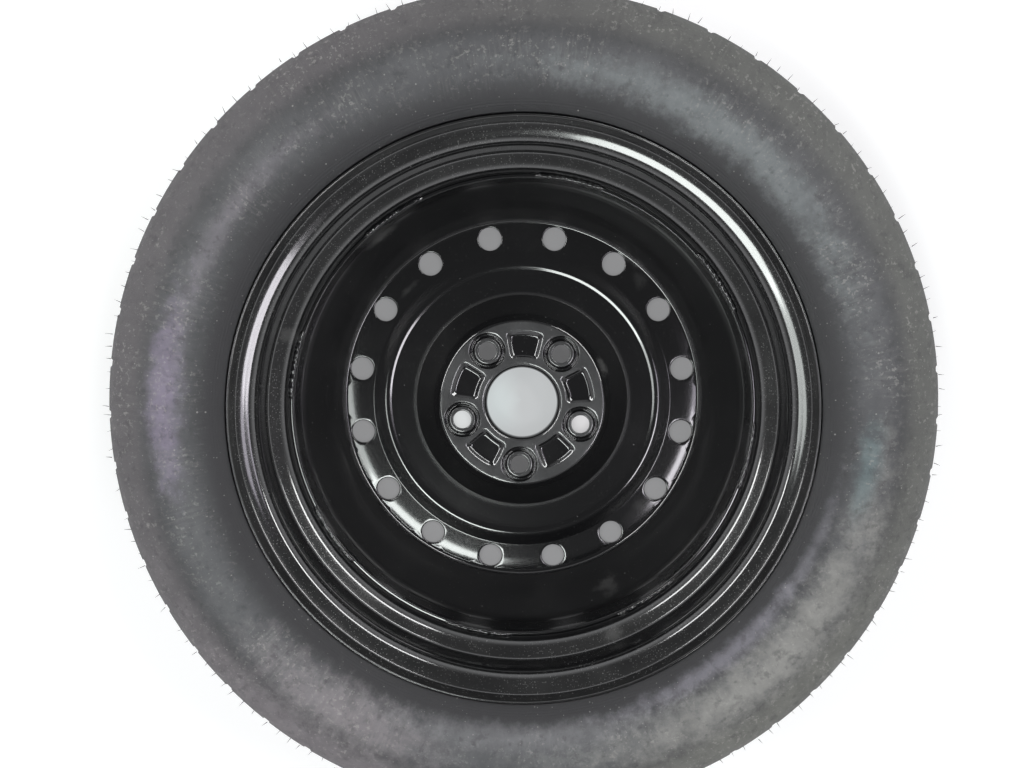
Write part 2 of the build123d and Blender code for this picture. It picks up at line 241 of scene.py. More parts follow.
# marks drawn round the axle: long along the turn, thin across it
turnMarks, given, gives = newGroup(
    "turnMarks", {"Along": 3.0, "Across": 900.0, "Cover": 0.7, "Soft": 0.05}, ("Mask", "Wave"))
place = useGroup(turnMarks, axlePlace)
track = put(turnMarks, "ShaderNodeCombineXYZ", {
    0: times(turnMarks, calc(turnMarks, "COSINE", place["Turn"]), given["Along"]),
    1: times(turnMarks, calc(turnMarks, "SINE", place["Turn"]), given["Along"]),
    2: times(turnMarks, plus(turnMarks, place["Radius"], place["Height"]), given["Across"]),
}).outputs[0]
wave = put(turnMarks, "ShaderNodeTexNoise", {"Vector": track, "Scale": 1.0, "Detail": 3.0}).outputs["Fac"]
turnMarks.links.new(overCover(turnMarks, wave, given), gives["Mask"])
turnMarks.links.new(wave, gives["Wave"])

# a soft patch, for wear and dust and for painted light: turn and width in degrees clockwise from the top, radius and
# spread in metres
patchShape = dict(top=90.0, scale=62.0, detail=8.0, rough=0.7, raggedGain=4.0, full=0.1, gone=1.3)
wearAndLightPatch, given, gives = newGroup(
    "wearAndLightPatch", {"Turn": 0.0, "Width": 20.0, "Radius": 0.28, "Spread": 0.015, "Ragged": 0.5}, ("Mask",))
place = useGroup(wearAndLightPatch, axlePlace)
aim = calc(wearAndLightPatch, "RADIANS", calc(wearAndLightPatch, "SUBTRACT", patchShape["top"], given["Turn"]))
swing = calc(wearAndLightPatch, "ARCCOSINE", calc(wearAndLightPatch, "COSINE", calc(wearAndLightPatch, "SUBTRACT", place["Turn"], aim)))
swing = calc(wearAndLightPatch, "DIVIDE", swing, calc(wearAndLightPatch, "RADIANS", given["Width"]))
drift = calc(wearAndLightPatch, "DIVIDE", calc(wearAndLightPatch, "SUBTRACT", place["Radius"], given["Radius"]), given["Spread"])
ragged = calc(wearAndLightPatch, "SUBTRACT", noise(wearAndLightPatch, patchShape["scale"], patchShape["detail"], patchShape["rough"]), 0.5)
ragged = times(wearAndLightPatch, ragged, times(wearAndLightPatch, given["Ragged"], patchShape["raggedGain"]))
far = plus(wearAndLightPatch, length(wearAndLightPatch, swing, drift), ragged)
wearAndLightPatch.links.new(fade(wearAndLightPatch, far, patchShape["full"], patchShape["gone"], 1.0, 0.0), gives["Mask"])


def patchMask(tree, patch, ragged):
    mask = useGroup(tree, wearAndLightPatch, Turn=patch["turn"], Width=patch["width"], Radius=patch["radius"],
                    Spread=patch["spread"], Ragged=ragged)["Mask"]
    return times(tree, mask, patch["share"])


def newMaterial(name):
    material = bpy.data.materials.new(name)
    material.use_nodes = True
    tree = material.node_tree
    tree.nodes.clear()
    out = tree.nodes.new("ShaderNodeOutputMaterial")
    shader = tree.nodes.new("ShaderNodeBsdfPrincipled")
    tree.links.new(shader.outputs[0], out.inputs[0])
    return material, tree, shader.inputs


def roughen(tree, sockets, height, strength, depth):
    bump = put(tree, "ShaderNodeBump", {"Height": height, "Strength": strength, "Distance": depth})
    tree.links.new(bump.outputs[0], sockets["Normal"])


paintLook = dict(
    black=(0.0035, 0.0035, 0.004, 1), dust=(0.2, 0.2, 0.195, 1), hubPaintedReflection=(0.075, 0.076, 0.077, 1),
    rough=0.15, roughDusty=0.5, coatRough=0.085, coatIndex=1.62, dullCoat=0.12,
    lipGrain=0.25, grainShare=0.3, grainLeast=0.1, speckShare=0.13, gritShare=0.5, scuffRagged=0.9,
    veilShare=0.03, markShare=0.03, flangeFilm=0.8, filmShare=0.05, filmLeast=0.05, hubReflectionShare=0.4, hubReflectionLeast=0.6,
    veilMatt=0.2, rubMatt=0.3, dullMatt=0.8, peelScale=240.0, peelDetail=2.0, markRelief=0.4,
    relief=0.05, reliefDepth=0.0006,
)
# where each zone begins and ends: radii in metres, and heights for the hub's top
paintZones = dict(
    rim=(0.198, 0.204), lip=(0.2328, 0.2345), ledge=(0.201, 0.205, 0.2128, 0.2142), flange=(0.2165, 0.2195),
    hubEdge=(0.0735, 0.0755), hubTop=(-0.0011, -0.0003), wall=(0.167, 0.170, 0.193, 0.197),
    cone=(0.079, 0.083, 0.099, 0.104),
)
paintScuffs = [
    dict(turn=37, width=8, radius=0.1655, spread=0.004, share=0.16),
    dict(turn=44, width=3, radius=0.158, spread=0.007, share=0.12),
    dict(turn=66, width=7, radius=0.0815, spread=0.004, share=0.3),
    dict(turn=132, width=5, radius=0.152, spread=0.006, share=0.14),
    dict(turn=155, width=4, radius=0.186, spread=0.006, share=0.16),
    dict(turn=158, width=3, radius=0.208, spread=0.006, share=0.2),
    dict(turn=288, width=2, radius=0.205, spread=0.008, share=0.16),
    dict(turn=314, width=4, radius=0.148, spread=0.003, share=0.14),
    dict(turn=320, width=5, radius=0.194, spread=0.003, share=0.3),
]
look, zones = paintLook, paintZones
wheelPaint, tree, sockets = newMaterial("wheelPaint")
place = useGroup(tree, axlePlace)
radius = place["Radius"]
veil = useGroup(tree, dustFall, Scale=11.0, Cover=0.62, Soft=0.16)["Mask"]
settled = useGroup(tree, dustFall, Scale=26.0, Cover=0.5, Soft=0.2)["Mask"]
specks = useGroup(tree, speckSpray, Scale=520.0, Size=0.3, Share=0.2)["Mask"]
grain = useGroup(tree, speckSpray, Scale=760.0, Size=0.42, Share=0.5)["Mask"]
grit = useGroup(tree, speckSpray, Scale=190.0, Size=0.13, Share=0.12)["Mask"]
marks = useGroup(tree, turnMarks, Along=2.5, Across=700.0, Cover=0.71, Soft=0.05)
onRim = times(tree, fade(tree, radius, *zones["rim"]), fade(tree, radius, *zones["lip"], 1.0, look["lipGrain"]))
grain = times(tree, grain, onRim, stretch(tree, settled, look["grainShare"], look["grainLeast"]))
dusty = most(tree, times(tree, specks, look["speckShare"]), grain, times(tree, grit, look["gritShare"]))
for scuff in paintScuffs:
    dusty = most(tree, dusty, patchMask(tree, scuff, look["scuffRagged"]))
dusty = most(tree, dusty, times(tree, veil, look["veilShare"]), times(tree, marks["Mask"], look["markShare"]))
# a film of dust on the ledge and the flange
film = most(tree, band(tree, radius, *zones["ledge"]), fade(tree, radius, *zones["flange"], 0.0, look["flangeFilm"]))
dusty = plus(tree, dusty, times(tree, film, stretch(tree, settled, look["filmShare"], look["filmLeast"])))
# the face that sits on the hub is painted grey: a painted reflection of the bright room, made uneven by noise
hubFace = times(tree, fade(tree, radius, *zones["hubEdge"], 1.0, 0.0), fade(tree, place["Height"], *zones["hubTop"]))
hubFace = times(tree, hubFace, stretch(tree, settled, look["hubReflectionShare"], look["hubReflectionLeast"]))
base = blendColour(tree, hubFace, look["black"], look["hubPaintedReflection"])
tree.links.new(blendColour(tree, dusty, base, look["dust"]), sockets["Base Color"])
# on the disc's wall and cone the gloss is dulled
dull = most(tree, band(tree, radius, *zones["wall"]), band(tree, radius, *zones["cone"]))
matt = plus(tree, times(tree, veil, look["veilMatt"]), times(tree, hubFace, look["rubMatt"]),
            times(tree, dull, look["dullMatt"]))
rough = fade(tree, plus(tree, dusty, matt), 0.0, 1.0, look["rough"], look["roughDusty"])
tree.links.new(rough, sockets["Roughness"])
tree.links.new(fade(tree, dull, 0.0, 1.0, 1.0, look["dullCoat"]), sockets["Coat Weight"])
sockets["Coat Roughness"].default_value = look["coatRough"]
sockets["Coat IOR"].default_value = look["coatIndex"]
peel = noise(tree, look["peelScale"], look["peelDetail"])
relief = plus(tree, peel, times(tree, marks["Wave"], look["markRelief"]))
roughen(tree, sockets, relief, look["relief"], look["reliefDepth"])

rubberLook = dict(
    dark=(0.019, 0.0187, 0.021, 1), sheenAndBloom=(0.094, 0.096, 0.101, 1), tread=(0.045, 0.045, 0.045, 1),
    outerRightLampTint=(0.1, 0.101, 0.093, 1), outerLeftLampTint=(0.101, 0.093, 0.098, 1),
    dust=(0.36, 0.35, 0.33, 1), creviceShade=(0.003, 0.003, 0.003, 1), rough=0.5, roughDusty=0.8, stainRough=0.3,
    middleFade=0.45, sheenAndBloomShare=0.5, sheenAndBloomLeast=0.5, outerShare=0.8, patchRagged=0.5, stainShare=0.18, pitShare=0.42,
    fleckShare=0.3, fleckLeast=0.09, treadFlecks=0.3, streakShare=0.12, speckShare=0.3, gritShare=0.5,
    fineScale=900.0, fineDetail=4.0, crazeScale=260.0, crazeDetail=5.0, crazeRough=0.65, crazeRelief=1.2,
    ringRelief=0.5, ribPitch=0.0021, ribRelief=0.3, relief=0.4, reliefDepth=0.0007,
)
# where each zone begins and ends: radii in metres, and the cosine of the turn for the right half
rubberZones = dict(
    middleRise=(0.247, 0.277), middleFall=(0.285, 0.303), outer=(0.294, 0.314), tread=(0.329, 0.335),
    treadFlecks=(0.326, 0.334), creviceShade=(0.2378, 0.2391), ribs=(0.2425, 0.244, 0.2475, 0.249), right=(-0.6, 0.6),
)
# patches of dust and painted sheen on the sidewall: their tints are painted lamp colour, and those at 274 and 98 are
# painted reflections of the lamps
tyreDustAndSheenPatches = [
    dict(turn=134, width=40, radius=0.286, spread=0.024, tone=(0.29, 0.287, 0.27, 1), share=0.72),
    dict(turn=212, width=20, radius=0.282, spread=0.026, tone=(0.27, 0.245, 0.258, 1), share=0.6),
    dict(turn=180, width=27, radius=0.264, spread=0.012, tone=(0.22, 0.217, 0.228, 1), share=0.5),
    dict(turn=36, width=40, radius=0.271, spread=0.016, tone=(0.23, 0.252, 0.256, 1), share=0.6),
    dict(turn=140, width=24, radius=0.256, spread=0.008, tone=(0.25, 0.24, 0.275, 1), share=0.55),
    dict(turn=116, width=14, radius=0.256, spread=0.006, tone=(0.23, 0.225, 0.25, 1), share=0.4),
    dict(turn=98, width=9, radius=0.276, spread=0.011, tone=(0.14, 0.21, 0.22, 1), share=0.45),
    dict(turn=274, width=17, radius=0.284, spread=0.015, tone=(0.26, 0.222, 0.305, 1), share=0.65),
    dict(turn=304, width=24, radius=0.2775, spread=0.009, tone=(0.22, 0.203, 0.226, 1), share=0.5),
    dict(turn=215, width=34, radius=0.320, spread=0.015, tone=(0.21, 0.19, 0.203, 1), share=0.5),
    dict(turn=145, width=44, radius=0.320, spread=0.014, tone=(0.18, 0.18, 0.162, 1), share=0.45),
]
look, zones = rubberLook, rubberZones
tyreRubber, tree, sockets = newMaterial("tyreRubber")
place = useGroup(tree, axlePlace)
radius = place["Radius"]
sheenAndBloom = useGroup(tree, dustFall, Scale=9.0, Cover=0.46, Soft=0.2)["Mask"]
stain = useGroup(tree, dustFall, Scale=55.0, Cover=0.54, Soft=0.16)["Mask"]
pits = useGroup(tree, dustFall, Scale=120.0, Cover=0.6, Soft=0.1)["Mask"]
flecks = useGroup(tree, dustFall, Scale=290.0, Cover=0.6, Soft=0.05)["Mask"]
fleckArea = useGroup(tree, dustFall, Scale=22.0, Cover=0.52, Soft=0.12)["Mask"]
specks = useGroup(tree, speckSpray, Scale=420.0, Size=0.26, Share=0.16)["Mask"]
grit = useGroup(tree, speckSpray, Scale=170.0, Size=0.14, Share=0.14)["Mask"]
rings = useGroup(tree, turnMarks, Along=2.0, Across=420.0, Cover=0.6, Soft=0.12)
streaks = useGroup(tree, turnMarks, Along=130.0, Across=60.0, Cover=0.58, Soft=0.12)
rightward = fade(tree, calc(tree, "COSINE", place["Turn"]), *zones["right"])
# painted sheen with bloom: a lighter ring across the middle of the sidewall, broken up by noise
middle = fade(tree, radius, *zones["middleRise"])
middle = times(tree, middle, fade(tree, radius, *zones["middleFall"], 1.0, look["middleFade"]))
outer = fade(tree, radius, *zones["outer"])
sheenAndBloomed = times(tree, middle, stretch(tree, sheenAndBloom, look["sheenAndBloomShare"], look["sheenAndBloomLeast"]))
base = blendColour(tree, sheenAndBloomed, look["dark"], look["sheenAndBloom"])
# painted lamp colour: the outer band is tinted purplish on the left and yellowish on the right
outerLampTinted = blendColour(tree, rightward, look["outerLeftLampTint"], look["outerRightLampTint"])
base = blendColour(tree, times(tree, outer, look["outerShare"]), base, outerLampTinted)
base = blendColour(tree, fade(tree, radius, *zones["tread"]), base, look["tread"])
dustAndSheenPatched = 0.0
for patch in tyreDustAndSheenPatches:
    mask = patchMask(tree, patch, look["patchRagged"])
    base = blendColour(tree, mask, base, patch["tone"])
    dustAndSheenPatched = most(tree, dustAndSheenPatched, mask)
darkened = most(tree, times(tree, stain, look["stainShare"]), times(tree, pits, look["pitShare"]))
base = blendColour(tree, darkened, base, look["dark"])
sown = times(tree, most(tree, middle, outer), stretch(tree, fleckArea, look["fleckShare"], look["fleckLeast"]))
sown = times(tree, sown, fade(tree, radius, *zones["treadFlecks"], 1.0, look["treadFlecks"]))
base = blendColour(tree, times(tree, flecks, sown), base, look["dust"])
streaked = times(tree, streaks["Mask"], fleckArea, middle, look["streakShare"])
base = blendColour(tree, streaked, base, look["dust"])
scatter = most(tree, times(tree, specks, look["speckShare"]), times(tree, grit, look["gritShare"]))
base = blendColour(tree, scatter, base, look["dust"])
# painted shade: the rubber turns near black in the crevice by the rim's lip
base = blendColour(tree, fade(tree, radius, *zones["creviceShade"], 1.0, 0.0), base, look["creviceShade"])
tree.links.new(base, sockets["Base Color"])
dry = plus(tree, dustAndSheenPatched, times(tree, stain, look["stainRough"]))
tree.links.new(fade(tree, dry, 0.0, 1.0, look["rough"], look["roughDusty"]), sockets["Roughness"])
fine = noise(tree, look["fineScale"], look["fineDetail"])
crazed = noise(tree, look["crazeScale"], look["crazeDetail"], look["crazeRough"])
ribs = calc(tree, "SINE", times(tree, radius, 2 * pi / look["ribPitch"]))
ribs = times(tree, ribs, band(tree, radius, *zones["ribs"]))
relief = plus(tree, fine, times(tree, crazed, look["crazeRelief"]), times(tree, rings["Wave"], look["ringRelief"]),
              times(tree, ribs, look["ribRelief"]))
roughen(tree, sockets, relief, look["relief"], look["reliefDepth"])

plainLook = dict(darker=0.8, lighter=1.25, smoother=0.06, rougher=0.08, detail=3.0, low=0.2, high=0.8,
                 relief=0.15, reliefDepth=0.0002)


def plainFinish(name, colour, rough, metallic=0.0, grainScale=900.0):
    material, tree, sockets = newMaterial(name)
    look = plainLook
    fine = noise(tree, grainScale, look["detail"])
    dark = tuple(c * look["darker"] for c in colour) + (1,)
    light = tuple(min(1.0, c * look["lighter"]) for c in colour) + (1,)
    tree.links.new(blendColour(tree, fine, dark, light), sockets["Base Color"])
    rough = fade(tree, fine, look["low"], look["high"], rough - look["smoother"], rough + look["rougher"])
    tree.links.new(rough, sockets["Roughness"])
    sockets["Metallic"].default_value = metallic
    roughen(tree, sockets, fine, look["relief"], look["reliefDepth"])
    return material


valveFinish = {
    "valve_stem_rubber": plainFinish("stemRubber", (0.025, 0.025, 0.025), 0.55),
    "valve_stem_tube": plainFinish("stemBrass", (0.72, 0.53, 0.25), 0.3, 1.0, 2500.0),
    "valve_cap": plainFinish("capPlastic", (0.03, 0.03, 0.031), 0.4),
    "valve_core_gasket": plainFinish("sealRubber", (0.16, 0.02, 0.015), 0.6),
    "valve_spring": plainFinish("springSteel", (0.6, 0.6, 0.61), 0.28, 1.0, 2500.0),
}
for node in ("valve_core_barrel", "valve_pin", "valve_poppet_cup"):
    valveFinish[node] = valveFinish["valve_stem_tube"]
for node in ("valve_poppet_seal", "valve_cap_gasket"):
    valveFinish[node] = valveFinish["valve_core_gasket"]
for node, material in valveFinish.items():
    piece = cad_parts[node]
    piece.data.materials.clear()
    piece.data.materials.append(material)
print("materials made")

# the core's spring: a copy of its mesh, and its farthest point along the core's axis
springForm = dict(axis=Vector((0, 0.5, 0.8660254)), stroke=0.001)
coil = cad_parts["valve_spring"].data.copy()
reach = [springForm["axis"].dot(v.co) for v in coil.vertices]
spring = onWheel("coreSpring", coil, valveFinish["valve_spring"], "spring_steel", "valve_spring")
far = coil.vertices[reach.index(max(reach))].co
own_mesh(spring)


# node trees that make meshes: the first input is the geometry they start from
def newTree(name, **ins):
    tree = bpy.data.node_groups.new(name, "GeometryNodeTree")
    for label, kind in ins.items():
        tree.interface.new_socket(label, in_out="INPUT", socket_type="NodeSocket" + kind)
    tree.interface.new_socket("Made", in_out="OUTPUT", socket_type="NodeSocketGeometry")
    return tree, tree.nodes.new("NodeGroupInput").outputs


def wholeMesh(tree, geometry):
    return put(tree, "GeometryNodeRealizeInstances", {"Geometry": geometry}).outputs[0]


def moveBy(tree, geometry, offset):
    return put(tree, "GeometryNodeSetPosition", {"Geometry": geometry, "Offset": offset}).outputs[0]


def closeTree(tree, geometry, finish):
    done = put(tree, "GeometryNodeSetMaterial", {"Geometry": geometry, "Material": finish}).outputs[0]
    tree.links.new(done, tree.nodes.new("NodeGroupOutput").inputs[0])


def runTree(name, mesh, tree, values):
    # the tree's result as a plain mesh
    holder = bpy.data.objects.new(name, mesh)
    bpy.context.scene.collection.objects.link(holder)
    modifier = holder.modifiers.new(name, "NODES")
    modifier.node_group = tree
    for item in tree.interface.items_tree:
        if item.in_out == "INPUT" and item.name in values:
            modifier[item.identifier] = values[item.name]
    bpy.context.view_layer.update()
    made = bpy.data.meshes.new_from_object(holder.evaluated_get(bpy.context.evaluated_depsgraph_get()))
    bpy.data.objects.remove(holder)
    return made


# rim: one rolled strip, turned by a node tree
rimForm = dict(
    sheet=2.6, segments=360, pathRadius=0.2, sharp=50, run=3.0, carTurn=6.0, roadTurn=8.0, lipRound=0.8, lipSteps=8,
    carSide=[(234.5, 105.9), (231.2, 99.45), (227.0, 97.04), (216.6, 93.05), (214.2, 69.6), (202.2, 63.16),
             (198.5, 56.3), (198.5, 45.0)],
    carBends=[2.6, 29.0, 11.0, 4.0, 13.0, 4.0],
    roadSide=[(201.1, 45.0), (201.1, 26.329), (216.65, 17.351), (218.4, -2.649), (233.2, -8.481), (237.1, -14.281)],
    roadBends=[8.4, 5.6, 4.0, 6.5],
)
runs = [rimForm["run"]] * len(rimForm["carSide"])
carLine = bendLine(rimForm["carSide"], rimForm["carBends"], runs, rimForm["carTurn"])
roadLine = bendLine(rimForm["roadSide"], rimForm["roadBends"], runs, rimForm["roadTurn"])[1:]
tyreSide = [p - n * rimForm["sheet"] for p, n in carLine] + [p for p, _ in roadLine]
carSide = [p for p, _ in carLine] + [p + n * rimForm["sheet"] for p, n in roadLine]


def lipEnd(a, b):
    # the rolled end of the strip from a to b, drawn as half an ellipse
    middle, half = (a + b) / 2, (a - b) / 2
    out = half / abs(half) * -1j * rimForm["lipRound"]
    steps = rimForm["lipSteps"]
    return [middle + half * cos(k * pi / steps) + out * sin(k * pi / steps) for k in range(1, steps)]


rimLoop = carSide + lipEnd(carSide[-1], tyreSide[-1]) + tyreSide[::-1] + lipEnd(tyreSide[0], carSide[0])
tree, given = newTree("rimLathe", Section="Geometry", Segments="Int", Path="Float", Finish="Material")
outline = put(tree, "GeometryNodeMeshToCurve", {"Mesh": given["Section"]}).outputs[0]
circle = {"Resolution": given["Segments"], "Radius": given["Path"]}
path = put(tree, "GeometryNodeCurvePrimitiveCircle", circle).outputs[0]
ring = put(tree, "GeometryNodeCurveToMesh", {"Curve": path, "Profile Curve": outline}).outputs[0]
closeTree(tree, wholeMesh(tree, ring), given["Finish"])
sectionMesh = bpy.data.meshes.new("rimSection")
count = len(rimLoop)
spots = [(p.real * mm - rimForm["pathRadius"], -p.imag * mm, 0) for p in rimLoop]
sectionMesh.from_pydata(spots, [(k, (k + 1) % count) for k in range(count)], [])
rimMesh = runTree("rimLathe", sectionMesh, tree, {
    "Segments": rimForm["segments"], "Path": rimForm["pathRadius"], "Finish": wheelPaint})
spots = [v.co[:] for v in rimMesh.vertices]
rimMesh = newMesh("wheelRim", spots, [p.vertices[:] for p in rimMesh.polygons], rimForm["sharp"])
onWheel("wheelRim", rimMesh, wheelPaint, "wheel_paint", "rim")


# disc: one pressing, car side and outer side built from the same rows and columns
discForm = dict(
    sheet=3.2, columns=320, sharp=42, turn=7.5, stride=2.2,
    corners=[(32.05, -8.4), (32.05, 0), (75.9, 0), (99.0, -20.2), (122.3, -20.2), (126.3, -18.9), (139.5, -21.9),
             (157.2, -22.0), (166.4, -22.8), (195.25, 27.021), (195.25, 54.2)],
    bends=[5.6, 5, 2.6, 2, 9, 3, 163, 4, 30],
    runs=[2.5, 1.25, 5, 6, 2.5, 3.5, 2.0, 2.0, 9, 8],
    flangeRound=0.8, flangeSteps=4,
    boltTurn=-92.3, boltCircle=57.15, boltCount=5, boltSpan=(40.2, 74.1), boltColumns=17,
    ventTurn=11.25, ventCircle=152.986, ventCount=16, ventSpan=(141.1, 164.85), ventColumns=6, ventR=10.7,
    hubPull=0.9, pullFrom=68, pullRise=6.0, pullTo=97, pullFall=12, blends=(0.4, 0.75),
    pocketMid=53.4, pocketRun=27.0, pocketInner=26.4, pocketOuter=37.4, pocketDepth=2.7, pocketSlope=5.4,
    pocketSoft=1.5, pocketReach=3,
)
discLine = bendLine(discForm["corners"], discForm["bends"], discForm["runs"], discForm["turn"], discForm["stride"])
faces = [[p for p, _ in discLine], [p + n * discForm["sheet"] for p, n in discLine]]
for line, inward in zip(faces, (1, -1)):
    end, bend, steps = line[-1], discForm["flangeRound"], discForm["flangeSteps"]
    for k in range(1, steps + 1):
        turn = k * pi / 2 / steps
        line.append(end + inward * bend * (1 - cos(turn)) + 1j * bend * sin(turn))
columns = discForm["columns"]
step = 2 * pi / columns
sector = 2 * pi / discForm["boltCount"]


def offMiddle(turn):
    # angle from the middle line between the two nearest studs
    return (turn - radians(discForm["boltTurn"])) % sector - sector / 2


def pocketShare(x, y):
    # 0 outside the pressed pockets, 1 on their floors
    u, v = hypot(x, y) - discForm["pocketMid"], abs(hypot(x, y) * sin(offMiddle(atan2(y, x))))
    half = discForm["pocketRun"] / 2
    flare = (discForm["pocketOuter"] - discForm["pocketInner"]) / 2 / discForm["pocketRun"]
    width = (discForm["pocketInner"] + discForm["pocketOuter"]) / 4 + flare * u
    gaps = (half - u, half + u, (width - v) / hypot(1, flare))
    if min(gaps) < -discForm["pocketReach"]:
        return 0.0
    soft = discForm["pocketSoft"]
    depth = -soft * log(sum(exp(-g / soft) for g in gaps)) / discForm["pocketSlope"]
    depth = max(0.0, min(1.0, depth))
    return depth * depth * (3 - 2 * depth)


def hubPull(r, turn):
    # the hub's edge runs in a little between the studs
    rise = (r - discForm["pullFrom"]) / discForm["pullRise"]
    along = max(0.0, min(1.0, rise, (discForm["pullTo"] - r) / discForm["pullFall"]))
    return discForm["hubPull"] * (1 + cos(abs(offMiddle(turn)) * discForm["boltCount"])) / 2 * along


def heightAt(side, r):
    line = faces[side]
    for a, b in zip(line, line[1:]):
        if a.real <= r <= b.real:
            return a.imag + (b.imag - a.imag) * (r - a.real) / (b.real - a.real)
    return line[-1].imag


def rowsAcross(low, high):
    # the rows of the disc from just inside one radius to just outside another
    radii = [p.real for p in faces[0]]
    first = max(i for i, r in enumerate(radii) if r <= low)
    return list(range(first, min(i for i, r in enumerate(radii) if r >= high) + 1))


hubRows = rowsAcross(*discForm["boltSpan"])
verts, quads = [], []
grids = []
for side in (0, 1):
    grid = []
    for i, p in enumerate(faces[side]):
        row = []
        for k in range(columns):
            x, y, z = spinPoint(p - hubPull(p.real, k * step), k * step)
            if hubRows[0] <= i <= hubRows[-1]:
                z -= discForm["pocketDepth"] * pocketShare(x / mm, y / mm) * mm
            row.append(len(verts))
            verts.append((x, y, z))
        grid.append(row)
    grids.append(grid)

# the square of grid that each hole replaces: rows, middle column, columns each way, centre and kind
patches = []
for kind in ("bolt", "vent"):
    rows = rowsAcross(*discForm[kind + "Span"])
    for k in range(discForm[kind + "Count"]):
        turn = radians(discForm[kind + "Turn"] + 360 / discForm[kind + "Count"] * k)
        centre = rect(discForm[kind + "Circle"], turn)
        patches.append((rows, round(turn / step), discForm[kind + "Columns"], centre, kind))
holed = {(i, (mid + c) % columns)
         for rows, mid, half, _, _ in patches for i in rows[:-1] for c in range(-half, half)}

# rings round a hole, from the outside in: radius and height off the sheet
ventR = discForm["ventR"]
holeRings = {
    ("vent", 0): [(ventR + 1.1, 0), (ventR + 0.5, -0.12), (ventR + 0.15, -0.4), (ventR, -0.95)],
    ("vent", 1): [(ventR + 0.6, 0), (ventR + 0.2, 0.12), (ventR, 0.5)],
    ("bolt", 0): [(16.9, 0), (16.75, -0.1), (16.5, -0.5), (16.1, -1.6), (15.7, -2.7), (15.2, -3.1), (14.7, -3.2),
                  (14.1, -3.2), (13.5, -3.05), (12.9, -2.4), (12.2, -1.3), (11.7, -0.65), (11.2, -0.42),
                  (10.2, -0.4), (9.0, -0.42), (8.5, -0.55), (8.25, -0.85), (8.2, -1.7)],
    ("bolt", 1): [(16.9, 0), (16.7, -0.3), (16.3, -2.6), (16.0, -3.1), (15.5, -3.2), (12.0, -3.2), (11.2, -3.15),
                  (10.9, -2.9)],
}
for rows, mid, half, centre, kind in patches:
    ends = []
    for side in (0, 1):
        grid = grids[side]
        cols = [(mid + c) % columns for c in range(-half, half + 1)]
        loop = [grid[rows[0]][c] for c in cols] + [grid[i][cols[-1]] for i in rows[1:]]
        loop += [grid[rows[-1]][c] for c in cols[-2::-1]] + [grid[i][cols[0]] for i in rows[-2:0:-1]]
        rim = [complex(verts[v][0], verts[v][1]) / mm - centre for v in loop]
        first = holeRings[kind, side][0][0]
        rings = [(first, share, 0) for share in discForm["blends"]] + [(r, 1, z) for r, z in holeRings[kind, side]]
        for r, share, lift in rings:
            fresh = []
            for p in rim:
                q = centre + p * (1 - share) + p / abs(p) * r * share
                fresh.append(len(verts))
                verts.append((q.real * mm, q.imag * mm, (heightAt(side, abs(q)) + lift) * mm))
            quads += [(loop[j - 1], loop[j], fresh[j], fresh[j - 1]) for j in range(len(loop))]
            loop = fresh
        ends.append(loop)
    near, away = ends
    quads += [(near[j - 1], near[j], away[j], away[j - 1]) for j in range(len(near))]


def stripQuads(a, b, skip=()):
    return [(a[k], a[(k + 1) % columns], b[(k + 1) % columns], b[k]) for k in range(columns) if k not in skip]


for grid in grids:
    for i in range(len(grid) - 1):
        quads += stripQuads(grid[i], grid[i + 1], {k for row, k in holed if row == i})
for i in (0, -1):
    quads += stripQuads(grids[0][i], grids[1][i])
onWheel("wheelDisc", newMesh("wheelDisc", verts, quads, discForm["sharp"]), wheelPaint, "wheel_paint", "wheel_disc")


# tyre: half section from bead toe to tread centre, mirrored, with slots pressed into the shoulders
tyreForm = dict(
    centre=45.0, radius=337.4, sharp=38, toe=(217.8, 75.549), heel=(219.3, 92.1), flank=(239.2, 101.2),
    underLip=[(227.3, 94.1), (232.6, 96.6), (237.9, 97.4)], beadBends=[6.6, 10.0, 5.0, 0.6], beadRuns=[7, 5, 5, 4, 3],
    beadTurn=20, widest=283.966 + 112.5j, shoulder=326.0 + 102.5j, treadEdge=333.0 + 97.3j,
    wallSteps=25, shoulderSteps=6, crownAt=26.15, crownDrop=1.1, treadSteps=60,
    grooves=(24.0, 0.0), grooveWidth=7.0, grooveDepth=4.0,
    innerCrown=326.1 + 64.0j, innerShoulder=325.3 + 83.3j, innerWall=(319.0 + 95.5j, 284.0 + 105.5j, 243.6 + 92.3j),
    innerSteps=9,
    slots=50, slotWidth=6.0, slotFrom=32.3, slotTo=56.3, slotFloor=331.0, slotSkew=18.0, slotMid=44.3,
    slotLeads=(10, 4, 0.6, -0.2), slotTail=5, leanLow=30, leanHigh=58,
    plainShares=(0.5, 0.34, 0.2), edgeShares=(0.03, 0.006, -0.014),
)
form = tyreForm
bead = bendLine([form["toe"], form["heel"]] + form["underLip"] + [form["flank"]],
                form["beadBends"], form["beadRuns"], form["beadTurn"])
outside = [p for p, _ in bead][:-1]
outside += arcLine(complex(*form["flank"]), form["widest"], form["shoulder"], form["wallSteps"])
# the shoulder bends on from the sidewall to the tread's edge
before, last = outside[-2], outside[-1]
way = (last - before) / abs(last - before) * rect(1, phase((last - before) / (before - outside[-3])) / 2)
gap = form["treadEdge"] - last
side = 1j * way * copysign(1, (gap / way).imag)
bendR = abs(gap) ** 2 / (2 * (gap / side).real)
sweep = 2 * phase(gap / way)
steps = form["shoulderSteps"]
outside += [last + side * bendR - side * bendR * rect(1, sweep * k / steps) for k in range(1, steps + 1)]
crown = form["radius"] - form["crownDrop"] + (form["centre"] + form["crownAt"]) * 1j
treadTop = arcLine(form["treadEdge"], crown, form["radius"] + form["centre"] * 1j, form["treadSteps"])

